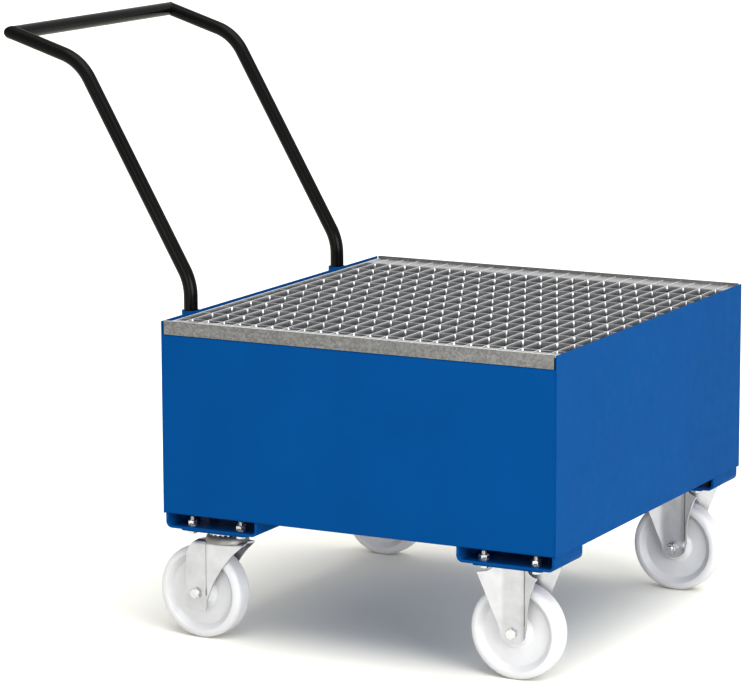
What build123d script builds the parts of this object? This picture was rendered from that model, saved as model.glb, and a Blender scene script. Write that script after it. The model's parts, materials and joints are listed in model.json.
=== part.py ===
"""Drum dolly: a sheet-steel sump tray on four casters, with a lift-off grating deck and a push handle.

Every separate physical piece is one solid, or one group of identical solids, in its own STEP file.
Millimetres, +Z up. X runs along the dolly with the handle at -X, Y across it, and the wheels stand
on Z = 0. "front" is the end away from the handle (+X), "left" is +Y.
"""
import os
from math import cos, radians, sin, tan

from build123d import *

# --- sump tray -------------------------------------------------------------------------------------
tray_length = 815.0
tray_width = 875.0
tray_height = 368.0
sheet = 3.0
sheet_bend = 4.0            # outer radius of the folded side walls
ledge_drop = 25.0           # the grating's ledge lies this far below the end walls' top edge
ledge_width = 33.0

# --- caster channels under the tray ----------------------------------------------------------------
channel_length = 196.0
channel_width = 122.0
channel_height = 28.0
channel_wall = 5.0
channel_bend = 12.0
channel_end_gap = 4.0       # from the channel's flange to the tray's end face
channel_side_gap = 2.5      # from the channel's open end to the tray's side face

# --- grating deck ----------------------------------------------------------------------------------
bar_pitch = 34.3
bar_thickness = 2.0
bar_drop = 3.7              # from the end walls' top edge down to the bearing bars' top
cross_pitch = 74.4
cross_thickness = 2.0
cross_height = 10.0
cross_drop = 0.5            # cross bars lie this far below the bearing bars' top
strip_thickness = 3.0
strip_rise = 5.2            # edge strips stand this far above the bearing bars' top
strip_leg = 50.0
strip_leg_drop = 2.0
slot_play = 0.2             # the strip's leg stays this far from the bars and bands beside it
deck_end_gap = 3.0          # lift-off clearance between the deck and each end wall

# --- push handle -----------------------------------------------------------------------------------
tube_diameter = 27.0
tube_wall = 2.0
handle_spacing = 592.0      # between the two legs' centrelines
lower_bend_rise = 51.0      # from the end walls' top edge up to the lower bend's corner
handle_slope = 30.0         # degrees from vertical
handle_run = 476.3
grip_slope = 17.5           # degrees from horizontal
grip_arm = 158.2
bend_radius = 100.0
socket_wall = 3.5
socket_play = 0.5           # radial play of the handle's leg in its socket
socket_depth = 126.0
socket_base = 4.0
socket_top_drop = 2.0
socket_weld = 16.0
socket_drain = 8.0

# --- casters ---------------------------------------------------------------------------------------
wheel_diameter = 180.0
tread_width = 45.0
tread_rounding = 11.0
hub_width = 54.0
hub_diameter = 50.0
hub_step = 3.0              # the hub's side slopes out by this much
hub_step_rise = 4.0         # and ends this far above the web's face
hub_foot = 9.0              # the web's face starts this far outside the hub
rim_inner = 0.72            # of the wheel's radius, where the web's face ends
rim_shoulder = 0.81
rim_face = 0.84
rim_step = 3.0
bearing_diameter = 30.0
axle_tube_diameter = 20.0
axle_diameter = 12.0
axle_play = 0.3
bearing_play = 0.05
axle_drop = 130.0           # from the mounting plate's top face down to the axle
plate_length = 140.0
plate_width = 110.0
plate_thickness = 4.0
plate_corner = 6.0
fork_gap = 57.0
fork_thickness = 3.5
fixed_strip = 45.0
fixed_leg_top = 124.0       # the fixed fork's width across the tips of its wings
fixed_foot = 20.5           # the fixed fork's legs end this far below the axle
fixed_wing_bend = 25.0      # degrees, away from the wheel
fixed_wing_drop = 6.6       # the wings' tips stay this far below the mounting bolts' heads
wing_lap = 0.4              # the wings' roots reach this far into the legs' flat strips
wing_bolt_gap = 2.5         # the wings' upper parts stay this far inside the mounting bolts' heads
swivel_strip = 46.0
swivel_leg_tail = 36.0      # the swivel fork's legs end this far below the axle
swivel_wing_bend = 9.0      # degrees, towards the wheel
swivel_trail = 51.0
swivel_edge_drop = 34.5     # the middle of the wings' curved front edge lies this far below the wheel's top
swivel_edge_share = 0.4     # of the wings' reach, where that middle is
swivel_rest_right = -3.1    # degrees about the king pin
swivel_rest_left = -3.0
crown_radius = 42.0
crown_thickness = 5.0
crown_drop = 14.0           # from the mounting plate's top face down to the crown's top
race_ring_outer = 40.0
race_ring_inner = 23.0
race_ring_drop = 9.5        # from the mounting plate's top face down to the race ring's underside
ball_diameter = 7.0
ball_circle = 64.0
ball_count = 20
ball_play = 0.3
ball_stand = 2.31           # the balls' centres lie this far above the crown's top
race_slack = 0.1            # the lower race's groove is this much wider than a ball
king_pin_diameter = 16.0
king_pin_play = 0.05
king_head_diameter = 27.0
king_head_height = 6.0
king_head_gap = 0.4
king_pin_sink = 0.3         # the riveted end lies this far below the plate's top face

# --- fasteners -------------------------------------------------------------------------------------
hole_spacing_x = 105.0
hole_spacing_y = 80.0
plate_hole = 11.0
bolt_diameter = 10.0
bolt_flats = 17.0
bolt_head = 6.4
bolt_nut = 8.4
bolt_washer = 20.0
bolt_washer_thickness = 2.0
bolt_stub = 7.6
axle_flats = 19.0
axle_head = 7.5
axle_nut_height = 10.0
axle_washer = 24.0
axle_washer_thickness = 2.5
axle_stub = 3.0
thread_play = 0.05

# --- levels and places that follow from them -------------------------------------------------------
axle_z = wheel_diameter / 2
plate_z = axle_z + axle_drop
tray_z = plate_z + channel_height
tray_top = tray_z + tray_height
ledge_z = tray_top - ledge_drop
bar_top = tray_top - bar_drop
wall_face = tray_length / 2
side_face = tray_width / 2
strip_inner = side_face - strip_thickness
deck_half = wall_face - sheet - deck_end_gap
band_inner = deck_half - strip_thickness
socket_radius = tube_diameter / 2 + socket_play + socket_wall
leg_x = -wall_face - socket_radius
socket_top = tray_top - socket_top_drop
leg_foot = socket_top - socket_depth
leg_y = handle_spacing / 2
caster_x = wall_face - channel_end_gap - channel_length / 2
caster_y = side_face - channel_side_gap - channel_width / 2
slope = radians(handle_slope)
rise = radians(grip_slope)
lower_bend = (leg_x, tray_top + lower_bend_rise)
upper_bend = (lower_bend[0] - handle_run * sin(slope), lower_bend[1] + handle_run * cos(slope))
grip = (upper_bend[0] - grip_arm * cos(rise), upper_bend[1] + grip_arm * sin(rise))
tray_x = -(wall_face + grip[0] - tube_diameter / 2) / 2
sides = {"left": 1, "right": -1}
fork_outer = fork_gap / 2 + fork_thickness
crown_z = plate_z - crown_drop
ball_z = crown_z + ball_stand

os.makedirs("parts", exist_ok=True)


def save(name, shape):
    """Write one node, moved from the tray's centre to the dolly's own origin."""
    export_step(Pos(tray_x, 0, 0) * shape, f"parts/{name}.step")


def group(solids):
    """Identical pieces that share a node."""
    return Compound(children=list(solids))


def block(x, y, z):
    """A box between three pairs of limits."""
    size = [limits[1] - limits[0] for limits in (x, y, z)]
    centre = [(limits[1] + limits[0]) / 2 for limits in (x, y, z)]
    return Pos(*centre) * Box(*size)


def post(radius, low, high):
    """A round bar along Z."""
    return Pos(0, 0, (low + high) / 2) * Cylinder(radius, high - low)


def hexagon(flats, low, high, chamfered_top=True):
    """A hexagon along Z whose corners are turned down at the chosen end."""
    prism = extrude(Plane.XY.offset(low) * RegularPolygon(flats / 2, 6, major_radius=False), high - low)
    corner = flats / 2 / cos(radians(30))
    blank = post(corner, low, high)
    end = blank.edges().group_by(Axis.Z)[-1 if chamfered_top else 0]
    return prism & chamfer(end, 0.6 * (corner - flats / 2), 1.2 * (corner - flats / 2))


def across(shape, side):
    """Turn a shape built along Z so that its top points out along Y on the given side."""
    return Rot(-90 * side, 0, 0) * shape


# --- tray ------------------------------------------------------------------------------------------
def sump_trough():
    """Bottom and both side walls in one folded sheet, with inward ledges for the grating."""
    height = ledge_z - tray_z
    middle = Pos(0, tray_z + height / 2)
    outline = middle * RectangleRounded(tray_width, height, sheet_bend)
    hollow = middle * RectangleRounded(tray_width - 2 * sheet, height - 2 * sheet, sheet_bend - sheet)
    mouth = Pos(0, ledge_z) * Rectangle(tray_width - 2 * ledge_width, 4 * sheet)
    length = tray_length - 2 * sheet
    return extrude(Plane.YZ.offset(-length / 2) * (outline - hollow - mouth), length)


def end_wall(end):
    """The full-width plate that closes one end of the trough."""
    faces = sorted((end * (wall_face - sheet), end * wall_face))
    return block(faces, (-side_face, side_face), (tray_z, tray_top))


def bolt_places():
    """The four bolt holes of one caster, about its own centre."""
    return [(i * hole_spacing_x / 2, j * hole_spacing_y / 2) for i in (-1, 1) for j in (-1, 1)]


def caster_channel():
    """A folded channel, open at both ends, whose web carries the caster's plate."""
    outline = Rectangle(channel_length, channel_height)
    outline = fillet(outline.vertices().group_by(Axis.Y)[0], channel_bend)
    hollow = Pos(0, channel_wall) * Rectangle(channel_length - 2 * channel_wall, channel_height)
    hollow = fillet(hollow.vertices().group_by(Axis.Y)[0], channel_bend - channel_wall)
    section = Plane.XZ * Pos(0, plate_z + channel_height / 2) * (outline - hollow)
    channel = extrude(section, channel_width / 2, both=True)
    for x, y in bolt_places():
        channel -= Pos(x, y, 0) * post(plate_hole / 2, plate_z - sheet, plate_z + channel_wall + sheet)
    return channel


def handle_socket():
    """A closed-bottom tube on a weld strip, into which one leg of the handle drops."""
    low = leg_foot - socket_base
    body = post(socket_radius, low, socket_top)
    body += block((0, socket_radius), (-socket_weld / 2, socket_weld / 2), (low, socket_top))
    body -= post(tube_diameter / 2 + socket_play, leg_foot, socket_top + sheet)
    return body - post(socket_drain / 2, low - sheet, leg_foot + sheet)


save("sump_trough", sump_trough())
save("end_wall_front", end_wall(1))
save("end_wall_handle", end_wall(-1))
for side, sign in sides.items():
    save(f"handle_socket_{side}", Pos(leg_x, sign * leg_y, 0) * handle_socket())


# --- grating ---------------------------------------------------------------------------------------
bar_steps = int((band_inner - bar_thickness) // bar_pitch)
cross_steps = int((strip_inner - strip_leg - cross_thickness) // cross_pitch)
bar_places = [k * bar_pitch for k in range(-bar_steps, bar_steps + 1)]
cross_places = [k * cross_pitch for k in range(-cross_steps, cross_steps + 1)]
cross_top = bar_top - cross_drop
leg_top = bar_top - strip_leg_drop


def bearing_bar():
    """One flat bar across the deck, notched for the cross bars."""
    height = bar_top - ledge_z
    outline = Pos(0, ledge_z + height / 2) * Rectangle(2 * strip_inner, height)
    for y in cross_places:
        outline -= Pos(y, bar_top) * Rectangle(cross_thickness, 2 * (cross_drop + cross_height))
    return extrude(Plane.YZ.offset(-bar_thickness / 2) * outline, bar_thickness)


def cross_bar():
    """One flat bar along the deck, pressed into the bearing bars' notches."""
    return block((-band_inner, band_inner), (-cross_thickness / 2, cross_thickness / 2),
                 (cross_top - cross_height, cross_top))


def end_band(end):
    """The flat bar that closes one end of the deck."""
    faces = sorted((end * band_inner, end * deck_half))
    return block(faces, (-strip_inner, strip_inner), (ledge_z, bar_top))


def edge_strip(sign):
    """An upright strip flush with the side wall, with a slotted leg between the bearing bars."""
    upright = block((-deck_half, deck_half), sorted((sign * strip_inner, sign * side_face)),
                    (ledge_z, bar_top + strip_rise))
    reach = sorted((sign * (strip_inner - strip_leg), sign * strip_inner))
    levels = (leg_top - strip_thickness, leg_top)
    leg_end = band_inner - slot_play
    strip = upright + block((-leg_end, leg_end), reach, levels)
    slot_half = bar_thickness / 2 + slot_play
    slot = block((-slot_half, slot_half), reach, levels)
    return strip - [Pos(x, 0, 0) * slot for x in bar_places]


one_bar = bearing_bar()
one_cross = cross_bar()
save("bearing_bars", group(Pos(x, 0, 0) * one_bar for x in bar_places))
save("cross_bars", group(Pos(0, y, 0) * one_cross for y in cross_places))
save("end_bands", group(end_band(end) for end in (-1, 1)))
for side, sign in sides.items():
    save(f"edge_strip_{side}", edge_strip(sign))


# --- handle ----------------------------------------------------------------------------------------
tube_section = Circle(tube_diameter / 2) - Circle(tube_diameter / 2 - tube_wall)
arm_direction = Vector(-cos(rise), 0, sin(rise))


def mitre(sign):
    """The plane of the welded corner between one leg and the grip bar, facing the grip bar."""
    return Plane(origin=(grip[0], sign * leg_y, grip[1]), z_dir=arm_direction + Vector(0, -sign, 0))


def handle_leg(sign):
    """A bent tube from the foot of its socket up to the mitred corner."""
    past = Vector(grip[0], 0, grip[1]) + arm_direction * tube_diameter
    path = FilletPolyline((leg_x, 0, leg_foot), (lower_bend[0], 0, lower_bend[1]),
                          (upper_bend[0], 0, upper_bend[1]), past, radius=bend_radius)
    tube = sweep(Plane(origin=(leg_x, 0, leg_foot), z_dir=(0, 0, 1)) * tube_section, path=path)
    return split(Pos(0, sign * leg_y, 0) * tube, bisect_by=mitre(sign), keep=Keep.BOTTOM)


def handle_grip():
    """The straight tube between the two mitred corners."""
    reach = leg_y + tube_diameter
    bar = extrude(Plane(origin=(grip[0], -reach, grip[1]), z_dir=(0, 1, 0)) * tube_section, 2 * reach)
    for sign in sides.values():
        bar = split(bar, bisect_by=mitre(sign), keep=Keep.TOP)
    return bar


for side, sign in sides.items():
    save(f"handle_leg_{side}", handle_leg(sign))
save("handle_grip_bar", handle_grip())


# --- caster pieces ---------------------------------------------------------------------------------
def wheel():
    """A solid plastic wheel about Y, with a dished face, a raised rim ring and a wide hub."""
    radius = wheel_diameter / 2
    tread = tread_width / 2
    hub = hub_diameter / 2
    web = tread_width / 4
    half = [(bearing_diameter / 2, hub_width / 2), (hub, hub_width / 2), (hub + hub_step, web + hub_step_rise),
            (hub + hub_foot, web), (rim_inner * radius, web), (rim_shoulder * radius, tread - rim_step),
            (rim_face * radius, tread), (radius, tread)]
    outline = make_face(Polyline(half + [(r, -y) for r, y in reversed(half)], close=True))
    outline = fillet(outline.vertices().group_by(Axis.X)[-1], tread_rounding)
    return revolve(outline, Axis.Y)


def wheel_bearing():
    """The roller bearing's sleeve, pressed into the hub and running on the axle tube."""
    outer = post(bearing_diameter / 2, -hub_width / 2, hub_width / 2)
    return across(outer - post(axle_tube_diameter / 2 + bearing_play, -hub_width, hub_width), 1)


def axle_tube():
    """The tube that the fork clamps and the wheel turns on."""
    outer = post(axle_tube_diameter / 2, -fork_gap / 2, fork_gap / 2)
    return across(outer - post(axle_diameter / 2 + thread_play, -fork_gap, fork_gap), 1)


def axle_bolt(sign):
    """Hexagon bolt through fork and axle tube, with its head on the outside of the dolly."""
    tip = -fork_outer - axle_washer_thickness - axle_nut_height - axle_stub
    shank = post(axle_diameter / 2, tip, fork_outer)
    shank = chamfer(shank.edges().group_by(Axis.Z)[0], 1.0)
    return across(shank + hexagon(axle_flats, fork_outer, fork_outer + axle_head), sign)


def axle_nut(sign):
    """Nut and washer on the axle bolt's end."""
    seat = -fork_outer - axle_washer_thickness
    bore = post(axle_diameter / 2 + thread_play, -3 * fork_outer, 0)
    washer = post(axle_washer / 2, seat, -fork_outer) - bore
    nut = hexagon(axle_flats, seat - axle_nut_height, seat, chamfered_top=False) - bore
    return group(across(piece, sign) for piece in (washer, nut))


def mounting_plate():
    """The caster's plate with its four bolt holes."""
    plate = block((-plate_length / 2, plate_length / 2), (-plate_width / 2, plate_width / 2),
                  (plate_z - plate_thickness, plate_z))
    plate = fillet(plate.edges().filter_by(Axis.Z), plate_corner)
    for x, y in bolt_places():
        plate -= Pos(x, y, 0) * post(plate_hole / 2, plate_z - 2 * plate_thickness, plate_z + plate_thickness)
    return plate


def wing(hinge_x, bend, outline):
    """A flange of a fork leg on the -Y side, hinged on an upright line and bent towards the wheel."""
    out = radians(bend)
    plane = Plane(origin=(hinge_x, -fork_outer, 0), x_dir=(cos(out), sin(out), 0),
                  z_dir=(sin(out), -cos(out), 0))
    return extrude(plane * outline, -fork_thickness)


def upright(section):
    """A fork leg's flat strip on the -Y side, from its outline in X and Z."""
    return extrude(Plane.XZ.offset(fork_outer) * section, -fork_thickness)


def fixed_fork():
    """Pressed fork of a fixed caster: the plate and two legs whose wings flare away from the wheel."""
    top = plate_z - plate_thickness
    round_z = axle_z - fixed_foot + fixed_strip / 2
    strip = Pos(0, (round_z + top) / 2) * Rectangle(fixed_strip, top - round_z)
    strip += Pos(0, round_z) * Circle(fixed_strip / 2)
    strip -= Pos(0, axle_z) * Circle(axle_diameter / 2 + axle_play)
    flat = cos(radians(fixed_wing_bend))
    reach = (fixed_leg_top - fixed_strip) / 2 / flat
    head_side = hole_spacing_x / 2 - bolt_flats / 2 / cos(radians(30)) - wing_bolt_gap
    inner = (head_side - fixed_strip / 2) / flat
    tip = top - bolt_head - fixed_wing_drop
    lap = -fork_thickness * tan(radians(fixed_wing_bend / 2)) - wing_lap
    flare = make_face(Polyline((lap, axle_z), (0, axle_z), (reach, tip), (inner, tip), (inner, top),
                               (lap, top), close=True))
    side = wing(fixed_strip / 2, -fixed_wing_bend, flare)
    leg = upright(strip) + side + mirror(side, about=Plane.YZ)
    return mounting_plate() + leg + mirror(leg, about=Plane.XZ)


def swivel_plate():
    """Mounting plate of a swivel caster with the upper ball race under it."""
    top = plate_z - plate_thickness
    ring = post(race_ring_outer, plate_z - race_ring_drop, top) - post(race_ring_inner, 0, plate_z)
    groove = Pos(0, 0, ball_z) * Torus(ball_circle / 2, ball_diameter / 2 + ball_play)
    return mounting_plate() + (ring - groove) - post(king_pin_diameter / 2, 0, plate_z + sheet)


def swivel_fork():
    """Turning fork: crown with the lower ball race, and two legs that trail behind the king pin."""
    low = crown_z - crown_thickness
    rear = -swivel_trail - swivel_strip / 2
    crease = -swivel_trail + swivel_strip / 2
    crown = post(crown_radius, low, crown_z)
    crown += block((rear, 0), (-fork_outer, fork_outer), (low, crown_z))
    groove_radius = ball_diameter / 2 + race_slack
    crown -= Pos(0, 0, ball_z + race_slack) * Torus(ball_circle / 2, groove_radius)
    crown -= post(king_pin_diameter / 2 + king_pin_play, 0, plate_z)
    foot = axle_z - swivel_leg_tail
    strip = Pos(-swivel_trail, (foot + low) / 2) * Rectangle(swivel_strip, low - foot)
    strip = fillet(strip.vertices().group_by(Axis.Y)[0], swivel_strip / 4)
    strip -= Pos(-swivel_trail, axle_z) * Circle(axle_diameter / 2 + axle_play)
    reach = (crown_radius - crease) / cos(radians(swivel_wing_bend)) - fork_thickness
    middle = (swivel_edge_share * reach, 2 * axle_z - swivel_edge_drop)
    curve = ThreePointArc((0, axle_z - swivel_leg_tail / 3), middle, (reach, low))
    flare = make_face([curve, Polyline(curve @ 1, (0, low), curve @ 0)])
    leg = upright(strip) + wing(crease, swivel_wing_bend, flare)
    return crown + leg + mirror(leg, about=Plane.XZ)


def king_pin():
    """Rivet that holds the fork to its plate; its head sits under the crown."""
    low = crown_z - crown_thickness - king_head_gap
    head = post(king_head_diameter / 2, low - king_head_height, low)
    head = chamfer(head.edges().group_by(Axis.Z)[0], king_head_height / 3)
    return head + post(king_pin_diameter / 2, low, plate_z - king_pin_sink)


def race_balls():
    """The ring of balls between plate and crown."""
    ring = PolarLocations(ball_circle / 2, ball_count)
    return [Pos(0, 0, ball_z) * place * Sphere(ball_diameter / 2) for place in ring]


def mounting_bolt():
    """Bolt from below through the caster's plate and the channel's web."""
    under = plate_z - plate_thickness
    tip = plate_z + channel_wall + bolt_washer_thickness + bolt_nut + bolt_stub
    shank = post(bolt_diameter / 2, under, tip)
    shank = chamfer(shank.edges().group_by(Axis.Z)[-1], 1.0)
    return shank + hexagon(bolt_flats, under - bolt_head, under, chamfered_top=False)


def mounting_washer():
    """Washer on the channel's web."""
    seat = plate_z + channel_wall
    washer = post(bolt_washer / 2, seat, seat + bolt_washer_thickness)
    return washer - post(bolt_diameter / 2 + thread_play, plate_z, tray_z)


def mounting_nut():
    """Nut on its washer inside the channel."""
    seat = plate_z + channel_wall + bolt_washer_thickness
    nut = hexagon(bolt_flats, seat, seat + bolt_nut)
    return nut - post(bolt_diameter / 2 + thread_play, plate_z, tray_z)


swivel_rest = {"left": swivel_rest_left, "right": swivel_rest_right}
wheel_solid = wheel()
bearing_solid = wheel_bearing()
tube_solid = axle_tube()
channel_solid = caster_channel()
fasteners = {"mounting_bolts": mounting_bolt(), "mounting_nuts": mounting_nut()}
washer_solid = mounting_washer()
washers = []

for end, along in {"front": 1, "rear": -1}.items():
    for side, sign in sides.items():
        corner = f"{end}_{side}"
        centre = Pos(along * caster_x, sign * caster_y, 0)
        save(f"caster_channel_{corner}", centre * channel_solid)
        for name, solid in fasteners.items():
            save(f"{name}_{corner}", group(centre * Pos(x, y, 0) * solid for x, y in bolt_places()))
        washers += [centre * Pos(x, y, 0) * washer_solid for x, y in bolt_places()]
        if end == "front":
            hub = centre * Pos(0, 0, axle_z)
            save(f"fixed_fork_{corner}", centre * fixed_fork())
        else:
            turn = centre * Rot(0, 0, swivel_rest[side])
            hub = turn * Pos(-swivel_trail, 0, axle_z)
            save(f"swivel_plate_{corner}", centre * swivel_plate())
            save(f"king_pin_{corner}", centre * king_pin())
            save(f"swivel_fork_{corner}", turn * swivel_fork())
            save(f"race_balls_{corner}", group(turn * ball for ball in race_balls()))
            print("king pin", corner, [round(v, 4) for v in (Pos(tray_x, 0, 0) * centre).position])
        save(f"wheel_{corner}", hub * wheel_solid)
        save(f"wheel_bearing_{corner}", hub * bearing_solid)
        save(f"axle_tube_{corner}", hub * tube_solid)
        save(f"axle_bolt_{corner}", hub * axle_bolt(sign))
        save(f"axle_nut_{corner}", hub * axle_nut(sign))
        print("axle", corner, [round(v, 4) for v in (Pos(tray_x, 0, 0) * hub).position])
save("mounting_washers", group(washers))
print("tray centre x", round(tray_x, 4), "deck top", round(bar_top, 4), "bars", len(bar_places))
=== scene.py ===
"""Drum dolly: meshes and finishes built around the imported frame. Metres, +Z up, handle at -X."""
import json
import logging
import math
import random
from collections.abc import Sequence
from dataclasses import dataclass, field
from enum import Enum

import bmesh
import bpy
from mathutils import Matrix, Vector


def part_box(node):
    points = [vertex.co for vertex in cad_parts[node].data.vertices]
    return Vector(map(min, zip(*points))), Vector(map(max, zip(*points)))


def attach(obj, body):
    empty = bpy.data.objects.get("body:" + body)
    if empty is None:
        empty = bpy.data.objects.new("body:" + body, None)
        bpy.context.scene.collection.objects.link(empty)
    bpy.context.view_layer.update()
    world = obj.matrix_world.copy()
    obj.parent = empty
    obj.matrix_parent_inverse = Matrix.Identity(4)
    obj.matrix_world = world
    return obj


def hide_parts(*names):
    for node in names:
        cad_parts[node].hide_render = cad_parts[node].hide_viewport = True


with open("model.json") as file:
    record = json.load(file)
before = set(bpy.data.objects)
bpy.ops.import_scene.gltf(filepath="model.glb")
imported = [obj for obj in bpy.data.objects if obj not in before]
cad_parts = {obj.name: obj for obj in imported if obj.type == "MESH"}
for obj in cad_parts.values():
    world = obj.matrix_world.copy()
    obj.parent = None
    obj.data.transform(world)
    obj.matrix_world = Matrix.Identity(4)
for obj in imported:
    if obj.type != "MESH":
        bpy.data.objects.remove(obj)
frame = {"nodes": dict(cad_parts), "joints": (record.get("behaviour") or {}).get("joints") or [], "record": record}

log = logging.getLogger("drum_dolly")
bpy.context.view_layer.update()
Point = tuple[float, float, float]
Flat = tuple[float, float]
Ring = list[Point]
MM = 0.001
CRISP = 35.0
Socket = bpy.types.NodeSocket
Material = bpy.types.Material


class Slot(Enum):
    """Material slots of the record."""

    BLUE = "blue_paint"
    BLACK = "black_paint"
    GALVANISED = "galvanised_steel"
    PRESSED = "pressed_zinc"
    BRIGHT = "bright_zinc"
    BEARING = "bearing_steel"
    WHITE = "white_polyamide"


class Side(Enum):
    """Sides of the dolly, with the sign of Y."""

    LEFT = 1
    RIGHT = -1

    @property
    def word(self) -> str:
        """Return the side as the nodes' names have it."""
        return self.name.lower()


# --- shader work -----------------------------------------------------------------------------------
class NodeBench:
    """Adds shader nodes to one material and joins them."""

    def __init__(self, name: str) -> None:
        """Start an empty material with a surface shader and an object-space position.

        Args:
            name: the material's name.
        """
        self.material = bpy.data.materials.new(name)
        self.material.use_nodes = True
        self.tree = self.material.node_tree
        self.tree.nodes.clear()
        self.surface = self.add("ShaderNodeBsdfPrincipled")
        output = self.add("ShaderNodeOutputMaterial")
        self.link(self.surface.outputs["BSDF"], output.inputs["Surface"])
        self.place = self.add("ShaderNodeTexCoord").outputs["Object"]

    def add(self, kind: str, **settings: object) -> bpy.types.Node:
        """Add one node.

        Args:
            kind: Blender's node type.
            settings: node properties to set.

        Returns:
            The new node.
        """
        node = self.tree.nodes.new(kind)
        for key, value in settings.items():
            setattr(node, key, value)
        return node

    def link(self, source: Socket, target: Socket) -> None:
        """Lead one socket into another."""
        self.tree.links.new(source, target)

    def constants(self, **values: object) -> None:
        """Set sockets of the surface shader; underscores stand for spaces."""
        for key, value in values.items():
            self.surface.inputs[key.replace("_", " ")].default_value = value

    def stretched(self, scale: Point) -> Socket:
        """Return the position stretched by a factor along each axis.

        Args:
            scale: the factors.

        Returns:
            The stretched position.
        """
        mapping = self.add("ShaderNodeMapping")
        mapping.inputs["Scale"].default_value = scale
        self.link(self.place, mapping.inputs["Vector"])
        return mapping.outputs["Vector"]

    def noise(self, per_metre: float, detail: float = 3.0, stretch: Point = (1, 1, 1)) -> Socket:
        """Add a noise pattern.

        Args:
            per_metre: waves in each metre.
            detail: octaves of finer noise.
            stretch: factor on each axis.

        Returns:
            The pattern's value, about 0.3 to 0.7.
        """
        node = self.add("ShaderNodeTexNoise")
        node.inputs["Scale"].default_value = per_metre
        node.inputs["Detail"].default_value = detail
        self.link(self.stretched(stretch), node.inputs["Vector"])
        return node.outputs["Fac"]

    def spangle(self, cell: float) -> Socket:
        """Return a random grey for each crystal of the given size in metres.

        Args:
            cell: a crystal's size.

        Returns:
            The grey, from 0 to 1.
        """
        node = self.add("ShaderNodeTexVoronoi", feature="F1")
        node.inputs["Scale"].default_value = 1 / cell
        self.link(self.place, node.inputs["Vector"])
        grey = self.add("ShaderNodeSeparateColor")
        self.link(node.outputs["Color"], grey.inputs["Color"])
        return grey.outputs["Red"]

    def ranged(self, value: Socket, low: float, high: float, span: Flat = (0.3, 0.7)) -> Socket:
        """Spread a pattern over a range.

        Args:
            value: the pattern.
            low: result at the span's start.
            high: result at the span's end.
            span: pattern values that map to low and high.

        Returns:
            The spread pattern.
        """
        node = self.add("ShaderNodeMapRange")
        for key, number in {"From Min": span[0], "From Max": span[1], "To Min": low, "To Max": high}.items():
            node.inputs[key].default_value = number
        self.link(value, node.inputs["Value"])
        return node.outputs["Result"]

    def height_of(self, source: Socket) -> Socket:
        """Return the Z part of a place or direction.

        Args:
            source: the place or direction.

        Returns:
            Its Z part.
        """
        parts = self.add("ShaderNodeSeparateXYZ")
        self.link(source, parts.inputs["Vector"])
        return parts.outputs["Z"]

    def joined(self, operation: str, first: Socket, second: Socket) -> Socket:
        """Return two values put together by a sum, a product or the larger of them.

        Args:
            operation: how they are put together.
            first: one value.
            second: the other value.

        Returns:
            The result.
        """
        both = self.add("ShaderNodeMath", operation=operation)
        self.link(first, both.inputs[0])
        self.link(second, both.inputs[1])
        return both.outputs["Value"]

    def upward(self, level: float, low_share: float, bead: float) -> Socket:
        """Return the share of painted top light: 1 on a top above the level, less elsewhere.

        Args:
            level: the height above which tops are painted fully bright.
            low_share: how much painted light a top below the level gets; lower tops are painted darker as painted
                shade.
            bead: the depth of the painted highlight along the upper part of a side, or zero.

        Returns:
            The share of painted light.
        """
        # Painted light: up-facing tops above the level are painted bright, lower tops painted darker, and a
        # painted highlight runs along the upper part of each side.
        height = self.height_of(self.place)
        normal = self.add("ShaderNodeNewGeometry").outputs["Normal"]
        facing = self.ranged(self.height_of(normal), 0, 1, (0.35, 0.85))
        soft = 0.0004
        above = self.ranged(height, low_share, 1, (level - soft, level + soft))
        tops = self.joined("MULTIPLY", facing, above)
        if not bead:
            return tops
        return self.joined("MAXIMUM", tops, self.ranged(height, 0, 0.85, (level - bead, level)))

    def blended(self, factor: Socket, first: Socket, second: Socket) -> Socket:
        """Return one coloured pattern turning into another.

        Args:
            factor: 0 for the first, 1 for the second.
            first: one coloured pattern.
            second: the other.

        Returns:
            The blend.
        """
        node = self.add("ShaderNodeMix", data_type="RGBA")
        self.link(factor, node.inputs["Factor"])
        self.link(first, node.inputs[6])
        self.link(second, node.inputs[7])
        return node.outputs[2]

    def mixed(self, factor: Socket, first: Point, second: Point) -> Socket:
        """Return a colour between two, led by a pattern from 0 to 1.

        Args:
            factor: 0 for the first, 1 for the second.
            first: one colour.
            second: the other.

        Returns:
            The colour.
        """
        node = self.add("ShaderNodeMix", data_type="RGBA")
        node.inputs[6].default_value = (*first, 1)
        node.inputs[7].default_value = (*second, 1)
        self.link(factor, node.inputs["Factor"])
        return node.outputs[2]

    def summed(self, first: Socket, second: Socket, share: float) -> Socket:
        """Return first plus share times second.

        Args:
            first: taken whole.
            second: taken in part.
            share: how much of the second.

        Returns:
            The sum.
        """
        node = self.add("ShaderNodeMath", operation="MULTIPLY_ADD")
        self.link(second, node.inputs[0])
        node.inputs[1].default_value = share
        self.link(first, node.inputs[2])
        return node.outputs["Value"]

    def colour(self, socket: Socket) -> None:
        """Lead the base colour by a pattern."""
        self.link(socket, self.surface.inputs["Base Color"])

    def roughness(self, socket: Socket) -> None:
        """Lead the roughness by a pattern."""
        self.link(socket, self.surface.inputs["Roughness"])

    def bump(self, height: Socket, depth: float, strength: float = 1.0) -> None:
        """Raise the surface by a pattern of the given depth in metres.

        Args:
            height: the pattern.
            depth: its depth in metres.
            strength: its weight.
        """
        node = self.add("ShaderNodeBump")
        node.inputs["Strength"].default_value = strength
        node.inputs["Distance"].default_value = depth
        self.link(height, node.inputs["Height"])
        self.link(node.outputs["Normal"], self.surface.inputs["Normal"])


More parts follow.
